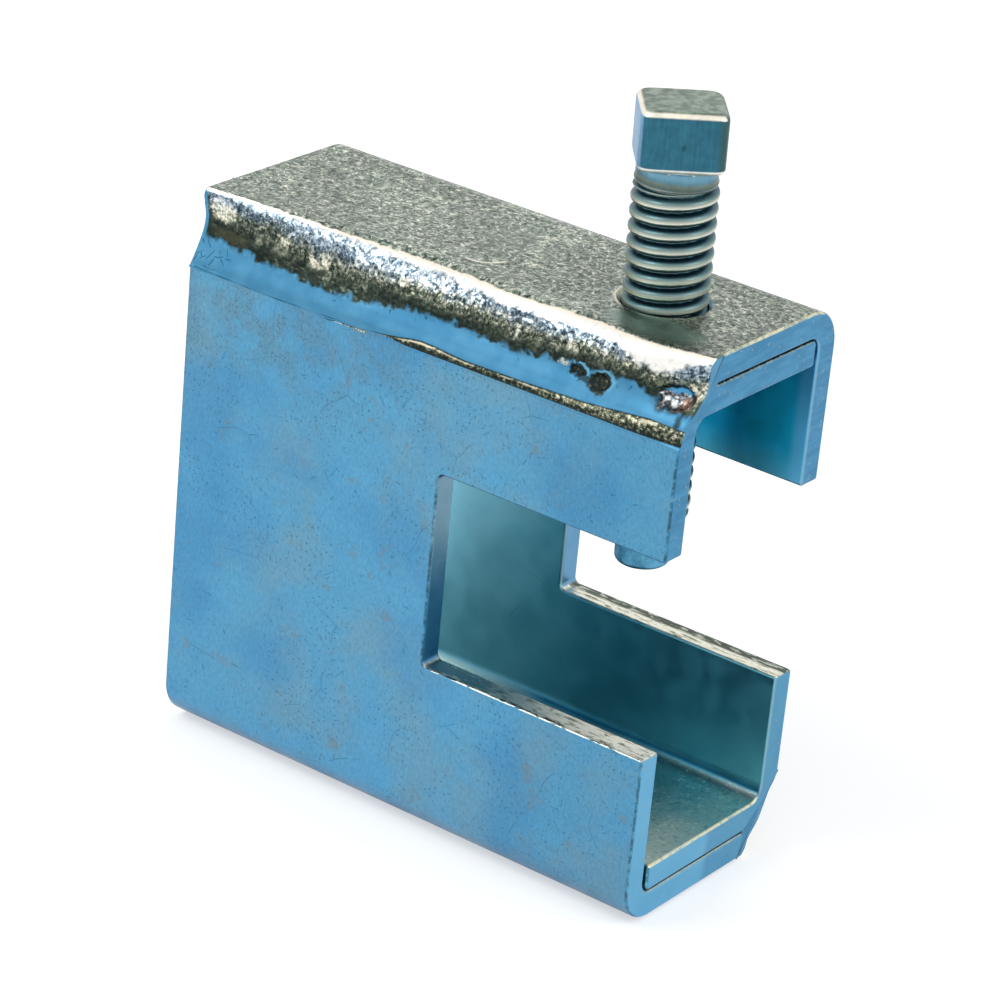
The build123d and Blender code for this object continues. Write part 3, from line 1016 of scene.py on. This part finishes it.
def crater_zinc(tree, colour, where, plane):
    """The crater where the arc stopped, and the gas pits behind it."""
    bent = wavy(tree, plane, 0.9, 0.7)
    speckle = noise(tree, where, 0.34, 3.0, 0.7)
    burnt_and_shaded = ramp(tree, speckle, BURNT_AND_SHADE)
    colour = gas_pits(tree, colour, bent, burnt_and_shaded, speckle)
    x, drop = crater_centre
    # A burnt and shaded ring, the molten middle, and a painted blue reflection on the crater's upper wall.
    colour = coated(tree, colour, (spot(tree, bent, (x, drop + 0.05), (2.5, 1.45), 0.45), burnt_and_shaded),
                    (spot(tree, bent, (x - 0.1, drop + 0.15), (1.75, 0.9), 0.5), ramp(tree, speckle, MOLTEN)),
                    (spot(tree, bent, (x + 0.2, drop - 0.45), (1.7, 0.36), 0.5), paint(78, 150, 194)))
    for side, low, reach in drops_with_highlights:
        bright = spot(tree, bent, (x + side, drop + low), (reach, reach * 0.8), 0.7)
        colour = mixed(tree, times(tree, bright, 0.85), colour, paint(240, 243, 246))
    rust = spot(tree, bent, (x + 1.05, drop + 0.5), (0.7, 0.45), 0.7)
    return mixed(tree, times(tree, rust, 0.75), colour, ramp(tree, speckle, RUST))


print("crater and", len(pits), "pits ready")


# %% One finish for both beads
def bead_borders(tree, colour, where, plane, band, along):
    """The toe line, painted dark as shade in its crease, the rolled ridge and the dark stem at the front end.
    """
    uneven = between(tree, noise(tree, where, 3.0, 2.0), 0.35, 0.6, 0.2, 0.8)
    toe = near_to(tree, band, 2.0, 0.02, 0.07)
    ridge_band = between(tree, along, ridge_from, ridge_full, 2.0, 3.1)
    on_ridge = times(tree, between(tree, band, 1.94, 2.0), between(tree, band, 3.1, 3.0))
    on_ridge = times(tree, on_ridge, between(tree, maths(tree, "SUBTRACT", band, ridge_band), 0.02, -0.05),
                     between(tree, along, ridge_from - 0.5, ridge_from + 0.5))
    stem = spot(tree, wavy(tree, plane, 0.6, 0.5), *end_stem, 0.8)
    return coated(tree, colour, (times(tree, toe, uneven), DARK_TEAL),
                  (on_ridge, ridge_zinc(tree, where, plane, band)),
                  (times(tree, stem, 0.85), paint(44, 52, 48)))


def bead_foil(tree, colour, where, band, frayed):
    """The top's foil over the bead's upper edge, with a painted cream highlight along the brow under it."""
    foil = maths(tree, "MULTIPLY_ADD", frayed, 0.3, carried(tree, "foil"))
    brow_highlight = times(tree, between(tree, foil, -0.3, -0.05), 0.7)
    on_top = most(tree, between(tree, band, -0.9, -0.02, 1.0, 0.0), between(tree, foil, -0.04, 0.05))
    return coated(tree, colour, (brow_highlight, paint(250, 236, 216)), (on_top, foil_top(tree, where)[0]))


def weld_finish():
    """The one material of both beads."""
    material, tree, shader, where, normal = new_finish("weld_bead_finish")
    front, _, up = facings(tree, normal)
    band = carried(tree, "band")
    along = carried(tree, "along")
    plane = add(tree, "ShaderNodeCombineXYZ", {0: along, 1: carried(tree, "drop")}).outputs[0]
    frayed = maths(tree, "SUBTRACT", noise(tree, where, 1.2, 2.5, 0.5, 0.3), 0.5)
    metal, facet = dented_zinc(tree, where, plane, band, up)
    skirt = skirt_zinc(tree, where, plane, band)
    crest = maths(tree, "MULTIPLY_ADD", frayed, 0.6, carried(tree, "crest"))
    # The crest: a painted white highlight, with grey grains.
    grains = between(tree, noise(tree, where, 0.4, 3.0, 0.6), 0.56, 0.66, 0.0, 0.5)
    smooth = mixed(tree, grains, paint(250, 248, 242), paint(196, 206, 214))
    in_skirt = between(tree, maths(tree, "MULTIPLY_ADD", frayed, 0.5, band), 0.92, 1.05)
    colour = coated(tree, metal, (between(tree, crest, 0.42, 0.60), smooth), (in_skirt, skirt),
                    (between(tree, band, 1.98, 2.02), blue_side(tree, where)[0]))
    colour = bead_borders(tree, colour, where, plane, band, along)
    colour = crater_zinc(tree, colour, where, plane)
    from_back = maths(tree, "MULTIPLY_ADD", band, -1.0, maths(tree, "MULTIPLY_ADD", frayed, 1.2, along))
    back_edge = times(tree, between(tree, from_back, 0.7, 0.2), between(tree, band, 1.15, 0.9))
    colour = coated(tree, colour, (times(tree, back_edge, 0.6), paint(44, 56, 48)),
                    (between(tree, along, 0.62, 0.45), skirt))
    colour = bead_foil(tree, colour, where, band, frayed)
    colour = mixed(tree, between(tree, maths(tree, "ABSOLUTE", front), 0.75, 0.95), colour, skirt)
    on_skirt = between(tree, in_skirt, 0, 1)
    rough_part = times(tree, facet, maths(tree, "SUBTRACT", 1.0, on_skirt), between(tree, crest, 0.56, 0.44))
    bump = add(tree, "ShaderNodeBump", {"Height": rough_part, "Strength": 0.3, "Distance": 0.00006})
    tree.links.new(colour, shader.inputs["Base Color"])
    tree.links.new(bump.outputs[0], shader.inputs["Normal"])
    tree.links.new(maths(tree, "MULTIPLY_ADD", on_skirt, 0.22, 0.3), shader.inputs["Roughness"])
    return material


weld = weld_finish()
print("weld finish has", len(weld.node_tree.nodes), "nodes")


# %% Lay both beads
DENTS = {"dent depth": 0.16, "dent size": 0.55, "lump depth": 0.2, "lump size": 1.9, "finish": weld}


def lay_bead(node, crests, last_outline, seed, turned_over):
    """Dents a bead, turns it over if it is the far bottom one, and puts it in the node's place."""
    mesh = bead_mesh(node + "_mesh", crests, last_outline)
    bead = baked(node + "_bead", mesh, dent_tree(), {**DENTS, "seed": seed})
    if turned_over:
        middle = Matrix.Translation((0, 0, top_face * MM / 2))
        bead.data.transform(middle @ Matrix.Rotation(math.pi, 4, "X") @ middle.inverted())
    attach(bead, "clamp_body")
    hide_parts(node)
    print(bead.name, "has", len(bead.data.polygons), "faces")
    return bead


lay_bead("top_weld", top_crests, crater_end, seed=3.0, turned_over=False)
lay_bead("bottom_weld", bottom_crests, lean_end, seed=8.0, turned_over=True)


# %% [markdown]
# ## The set screw
# The screw is rolled and forged from one rod: a dog point, an 18-to-the-inch thread, a plain
# neck and a square head. Everything on it is a profile carried round an axis, so one tree
# wraps the profile once. A row may be round, square or both, and the thread is added to the
# radius as a wave that climbs one pitch in each turn. That gives a true helix with no sweep.

# %% Sizes of the screw
mounts = {mount["name"]: Vector(mount["pos_m"]) for mount in frame["record"]["mounts"]}
screw_tip = mounts["screw_point"]
screw_top = mounts["wrench_head"]
screw_length = (screw_top - screw_tip).length / MM
thread_diameter = 7.94
pitch = 25.4 / 18
thread_depth = 0.865
neck_length = 1.9
neck_diameter = 7.62
dog_diameter = 5.2
dog_length = 3.96
dog_edge = 0.6
head_flats = 7.94
head_height = 5.65
head_rim = 0.75
head_foot = 0.55
head_turn = 39.5
thread_turn = 118.0
head_squareness = 8.0
neck_rim = 0.45
mark_height = 2.65
crest_roundness = 2.8
row_step = 0.075
points_round = 144
root_radius = thread_diameter / 2 - thread_depth
head_start = screw_length - head_height
thread_end = head_start - neck_length
print("screw length", round(screw_length, 2), "mm, head from", round(head_start, 2))


# %% The screw's profile, one row after another from the point to the top of the head
def quarter_arc(height, radius, size, first, last):
    """Rows round a corner whose centre is at that height and radius, between two angles."""
    angles = np.radians(np.linspace(first, last, 7))
    return [(height + size * math.sin(a), radius + size * math.cos(a)) for a in angles]


def screw_rows():
    """Rows of height, round radius, square half-width and share of thread."""
    dog_radius = dog_diameter / 2
    neck_radius = neck_diameter / 2
    half = head_flats / 2
    rows = [(0.0, 0.0, 0.0, 0.0), (0.0, (dog_radius - dog_edge) * 0.6, 0.0, 0.0)]
    rows += [(h, r, 0.0, 0.0) for h, r in quarter_arc(dog_edge, dog_radius - dog_edge, dog_edge, -90, 0)]
    rows += [(dog_length - 0.05, dog_radius, 0.0, 0.0), (dog_length, dog_radius + 0.03, 0.0, 0.0)]
    for height in np.arange(dog_length + 0.02, thread_end, row_step):
        share = min(1.0, (height - dog_length) / pitch) * min(1.0, (thread_end - height) / 0.3)
        rows.append((height, root_radius, 0.0, share))
    for height, radius in quarter_arc(thread_end + neck_rim, neck_radius - neck_rim, neck_rim, -90, 0):
        rows.append((height, max(radius, root_radius), 0.0, 0.0))
    rows += [(height, neck_radius - 0.1, 0.0, 0.0) for height in np.linspace(thread_end + 0.8, head_start, 5)]
    for height, width in quarter_arc(head_start + head_foot, half - head_foot, head_foot, -90, 0):
        rows.append((height, neck_radius - 0.1, width, 0.0))
    side_heights = np.linspace(head_start + 0.9, screw_length - head_rim - 0.1, 6)
    rows += [(height, 0.0, half, 0.0) for height in side_heights]
    rim_arc = quarter_arc(screw_length - head_rim, half - head_rim, head_rim, 0, 90)
    rows += [(height, 0.0, width, 0.0) for height, width in rim_arc]
    rows += [(screw_length, 0.0, half * share, 0.0) for share in (0.8, 0.5, 0.2, 0.0)]
    return np.array(rows)


def profile_mesh():
    """The rows as loose points that carry their sizes."""
    rows = screw_rows()
    mesh = bpy.data.meshes.new("set_screw_profile")
    mesh.from_pydata([(0, 0, height * MM) for height in rows[:, 0]], [], [])
    for name, column in zip(("height", "round", "square", "thread"), rows.T):
        store(mesh, name, column)
    return mesh


def wrap_tree():
    """Wraps rows of sizes round the upright axis, with a thread that climbs as it turns."""
    sizes = ["pitch", "thread depth", "crest roundness", "thread turn", "head turn", "squareness",
             "points round"]
    tree, given = new_shape_tree("screw_wrap", sizes)
    profile = given["Geometry"]
    rows = add(tree, "GeometryNodeAttributeDomainSize", {"Geometry": profile}, component="MESH").outputs[0]
    columns = maths(tree, "ADD", given["points round"], 1.0)
    counts = {"Vertices X": columns, "Vertices Y": rows}
    flat_grid = add(tree, "GeometryNodeMeshGrid", counts).outputs[0]
    index = add(tree, "GeometryNodeInputIndex").outputs[0]
    row = maths(tree, "FLOORED_MODULO", index, rows)
    column = maths(tree, "FLOOR", maths(tree, "DIVIDE", maths(tree, "ADD", index, 0.5), rows))
    turn = maths(tree, "DIVIDE", column, given["points round"])
    angle = maths(tree, "MULTIPLY", turn, math.tau)

    def of_row(name):
        inputs = {"Geometry": profile, "Value": named(tree, name), "Index": row}
        return add(tree, "GeometryNodeSampleIndex", inputs, data_type="FLOAT", domain="POINT").outputs[0]

    height = of_row("height")
    lag = maths(tree, "SUBTRACT", turn, maths(tree, "DIVIDE", given["thread turn"], 360.0))
    turns_up = maths(tree, "DIVIDE", maths(tree, "SUBTRACT", height, dog_length), given["pitch"])
    climb = maths(tree, "FRACT", maths(tree, "SUBTRACT", turns_up, lag))
    phase = maths(tree, "MULTIPLY", maths(tree, "ABSOLUTE", maths(tree, "SUBTRACT", climb, 0.5)), 2.0)
    hollow = maths(tree, "POWER", maths(tree, "SUBTRACT", 1.0, phase), given["crest roundness"])
    form = maths(tree, "MULTIPLY", maths(tree, "SUBTRACT", 1.0, hollow), of_row("thread"))
    raised = maths(tree, "MULTIPLY_ADD", form, given["thread depth"], of_row("round"))
    bearing = maths(tree, "SUBTRACT", angle, maths(tree, "RADIANS", given["head turn"]))
    powers = []
    for side in ("COSINE", "SINE"):
        part = maths(tree, "ABSOLUTE", maths(tree, side, bearing))
        powers.append(maths(tree, "POWER", part, given["squareness"]))
    together = maths(tree, "ADD", *powers)
    swell = maths(tree, "POWER", together, maths(tree, "DIVIDE", -1.0, given["squareness"]))
    radius = maths(tree, "MAXIMUM", raised, maths(tree, "MULTIPLY", swell, of_row("square")))
    metres = [maths(tree, "MULTIPLY", value, MM) for value in (radius, height)]
    x = maths(tree, "MULTIPLY", metres[0], maths(tree, "COSINE", angle))
    y = maths(tree, "MULTIPLY", metres[0], maths(tree, "SINE", angle))
    place = add(tree, "ShaderNodeCombineXYZ", {0: x, 1: y, 2: metres[1]}).outputs[0]
    inputs = {"Geometry": flat_grid, "Name": "form", "Value": form}
    kept = add(tree, "GeometryNodeStoreNamedAttribute", inputs, data_type="FLOAT", domain="POINT").outputs[0]
    wrapped = add(tree, "GeometryNodeSetPosition", {"Geometry": kept, "Position": place}).outputs[0]
    joined = add(tree, "GeometryNodeMergeByDistance", {"Geometry": wrapped, "Distance": 1e-6}).outputs[0]
    smooth = add(tree, "GeometryNodeSetShadeSmooth", {"Geometry": joined}).outputs[0]
    end_tree(tree, smooth, given["finish"])
    return tree


# %% [markdown]
# ## The screw's finish
# Rolled thread is the brightest metal on the clamp: the dies burnish its crests, and each crest
# carries a painted highlight. Its roots hold shadow, painted in as dark teal. The head is forged
# and satin, olive grey above and teal on its sides as painted reflections, with a painted
# highlight along its rims. The finish reads how high each point lies on the thread, and which way it faces.

# %% Zinc on the screw
# Painted light on the thread by facing: a painted highlight line low on each crest, painted shade on the
# faces that look down. The neck runs from a painted highlight at its lower rim to blue above.
THREAD = shades((0.10, (52, 90, 102)), (0.24, (84, 114, 114)), (0.34, (150, 160, 148)),
                (0.42, (236, 236, 222)), (0.50, (186, 192, 178)), (0.62, (142, 158, 150)),
                (0.80, (104, 132, 134)), (0.95, (60, 92, 104)))
NECK = shades((0.0, (196, 200, 188)), (0.14, (80, 100, 100)), (0.4, (112, 124, 114)),
              (0.6, (92, 132, 148)), (0.9, (110, 154, 176)))


def thread_zinc(tree, form, up, satin):
    """Colour of the thread, as painted light by facing: burnished crests with a painted highlight line low on
    them, and painted shade in the dark teal roots.
    """
    tilt = maths(tree, "MULTIPLY_ADD", up, 0.5, 0.5)
    wavering = maths(tree, "MULTIPLY_ADD", maths(tree, "SUBTRACT", satin, 0.5), 0.12, tilt)
    root_shade = between(tree, form, 0.05, 0.45, 0.7, 0.0)
    return mixed(tree, root_shade, ramp(tree, wavering, THREAD), paint(66, 106, 120))


def head_zinc(tree, where, front, near, up, satin, drawn):
    """Colour of the head, painted by facing: olive above and teal on its sides as painted reflections, a
    lighter and a darker side as painted light and shade, and painted highlights on its rims above and below.
    """
    top = mixed(tree, between(tree, satin, 0.36, 0.64), paint(108, 126, 113), paint(148, 162, 148))
    back_side = between(tree, front, -0.05, -0.45)
    front_side = times(tree, between(tree, near, 0.75, 0.45), between(tree, front, 0.2, 0.6))
    side = coated(tree, paint(49, 101, 121), (between(tree, drawn, 0.35, 0.65), paint(57, 111, 131)),
                  (back_side, paint(120, 164, 198)), (front_side, paint(58, 92, 96)))
    # Painted highlights on the rims above and below.
    rim_highlight = times(tree, between(tree, up, 0.3, 0.55), between(tree, up, 0.97, 0.8),
                between(tree, near, -0.1, 0.2))
    from_mark = vectors(tree, "DISTANCE", wavy(tree, where, 0.8, 0.25), head_mark)
    mark = between(tree, from_mark, 0.1, 0.4, 0.5, 0.0)
    foot_highlight = times(tree, between(tree, up, -0.05, -0.25), between(tree, up, -0.97, -0.85))
    return coated(tree, side, (between(tree, up, 0.55, 0.9), top), (rim_highlight, paint(244, 238, 222)),
                  (mark, paint(30, 60, 70)), (foot_highlight, paint(236, 238, 232)))


def screw_finish():
    """The one material of the set screw."""
    material, tree, shader, where, normal = new_finish("zinc_screw_finish")
    front, near, up = facings(tree, normal)
    height = parts_of(tree, where)[2]
    satin = noise(tree, where, 0.9, 4.0, 0.6)
    drawn = noise(tree, stretched(tree, where, stretch=(0.4, 0.4, 6)), 0.6, 3.0, 0.6)
    thread = thread_zinc(tree, carried(tree, "form"), up, satin)
    head = head_zinc(tree, where, front, near, up, satin, drawn)
    neck = ramp(tree, between(tree, height, neck_line, head_line), NECK)
    dog = mixed(tree, between(tree, satin, 0.35, 0.65), paint(72, 132, 164), paint(94, 156, 188))
    colour = coated(tree, thread, (between(tree, height, neck_line - 0.1, neck_line + 0.1), neck),
                    (between(tree, height, head_line - 0.1, head_line + 0.1), head),
                    (between(tree, height, dog_line, dog_line + 0.2, 1.0, 0.0), dog))
    colour = shaded(tree, colour, between(tree, satin, 0.3, 0.7, 0.9, 1.08))
    bump = add(tree, "ShaderNodeBump", {"Height": satin, "Strength": 0.2, "Distance": 0.0001})
    tree.links.new(colour, shader.inputs["Base Color"])
    tree.links.new(bump.outputs[0], shader.inputs["Normal"])
    tree.links.new(between(tree, drawn, 0.3, 0.7, 0.34, 0.46), shader.inputs["Roughness"])
    return material


screw_direction = (screw_top - screw_tip).normalized()
head_line, neck_line, dog_line = (
    (screw_tip / MM + screw_direction * height)[2] for height in (head_start, thread_end, dog_length)
)
face_angle = math.radians(head_turn - 90)
head_face = Vector((math.cos(face_angle), math.sin(face_angle), 0))
head_mark = tuple(screw_tip / MM + screw_direction * (head_start + mark_height) + head_face * head_flats / 2)
zinc_screw = screw_finish()
wrap_sizes = {"pitch": pitch, "thread depth": thread_depth, "crest roundness": crest_roundness,
              "thread turn": thread_turn, "head turn": head_turn, "squareness": head_squareness,
              "points round": float(points_round), "finish": zinc_screw}
screw = baked("set_screw_turned", profile_mesh(), wrap_tree(), wrap_sizes)
lean = Vector((0, 0, 1)).rotation_difference(screw_direction).to_matrix().to_4x4()
screw.data.transform(Matrix.Translation(screw_tip) @ lean)
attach(screw, "set_screw")
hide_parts("set_screw")
print("screw has", len(screw.data.polygons), "faces")


# %% [markdown]
# ## The floor, the room and the lamps
# The clamp stands on a white floor in a white room. The room shows white to the camera and to
# the mirror-like zinc, but gives less light than that to matt things, so that the lamps can
# shape the metal. The floor keeps a soft shadow under the clamp.

# %% Studio
room_light = 0.55
floor_glow = 0.53
floor_size = 4.0
floor_drop = 0.0002
lamps_look_at = (0.0, 0.0, 0.035)


def world_light():
    """A room that looks white and lights softly."""
    world = bpy.data.worlds.new("studio_room")
    bpy.context.scene.world = world
    world.use_nodes = True
    tree = world.node_tree
    tree.nodes.clear()
    path = add(tree, "ShaderNodeLightPath").outputs
    seen = maths(tree, "MAXIMUM", path["Is Camera Ray"], path["Is Transmission Ray"])
    seen = maths(tree, "MAXIMUM", seen, path["Is Glossy Ray"])
    white = add(tree, "ShaderNodeBackground", {"Color": (1, 1, 1, 1), "Strength": 1.0})
    dim = add(tree, "ShaderNodeBackground", {"Color": (1, 1, 1, 1), "Strength": room_light})
    both = add(tree, "ShaderNodeMixShader", {0: seen, 1: dim.outputs[0], 2: white.outputs[0]})
    tree.links.new(both.outputs[0], add(tree, "ShaderNodeOutputWorld").inputs[0])


def soft_lamp(name, place, size, watts):
    """A square softbox that looks at the clamp's middle."""
    lamp = bpy.data.lights.new(name, "AREA")
    lamp.size = size
    lamp.energy = watts
    stand = bpy.data.objects.new(name, lamp)
    stand.location = place
    aim = np.array(lamps_look_at) - np.array(place)
    stand.rotation_euler = Vector(aim).to_track_quat("-Z", "Y").to_euler()
    bpy.context.scene.collection.objects.link(stand)


def white_floor():
    """A large floor that shows white, with the clamp's own soft shadow on it."""
    bpy.ops.mesh.primitive_plane_add(size=floor_size, location=(0, 0, -floor_drop))
    floor = bpy.context.object
    floor.name = "studio_floor"
    material = bpy.data.materials.new("floor_white")
    material.use_nodes = True
    tree = material.node_tree
    tree.nodes.clear()
    matt = add(tree, "ShaderNodeBsdfDiffuse", {"Color": (0.8, 0.8, 0.8, 1)})
    glow = add(tree, "ShaderNodeEmission", {"Color": (1, 1, 1, 1)})
    path = add(tree, "ShaderNodeLightPath").outputs
    seen = maths(tree, "MAXIMUM", path["Is Camera Ray"], path["Is Glossy Ray"])
    tree.links.new(maths(tree, "MULTIPLY", seen, floor_glow), glow.inputs["Strength"])
    both = add(tree, "ShaderNodeAddShader", {0: matt.outputs[0], 1: glow.outputs[0]})
    tree.links.new(both.outputs[0], add(tree, "ShaderNodeOutputMaterial").inputs[0])
    floor.data.materials.append(material)


world_light()
white_floor()
soft_lamp("key_softbox", (-0.25, -0.35, 0.55), 0.30, 1.1)
soft_lamp("side_softbox", (0.45, 0.10, 0.35), 0.25, 0.4)
bpy.context.scene.view_settings.view_transform = "Standard"
print("studio ready")
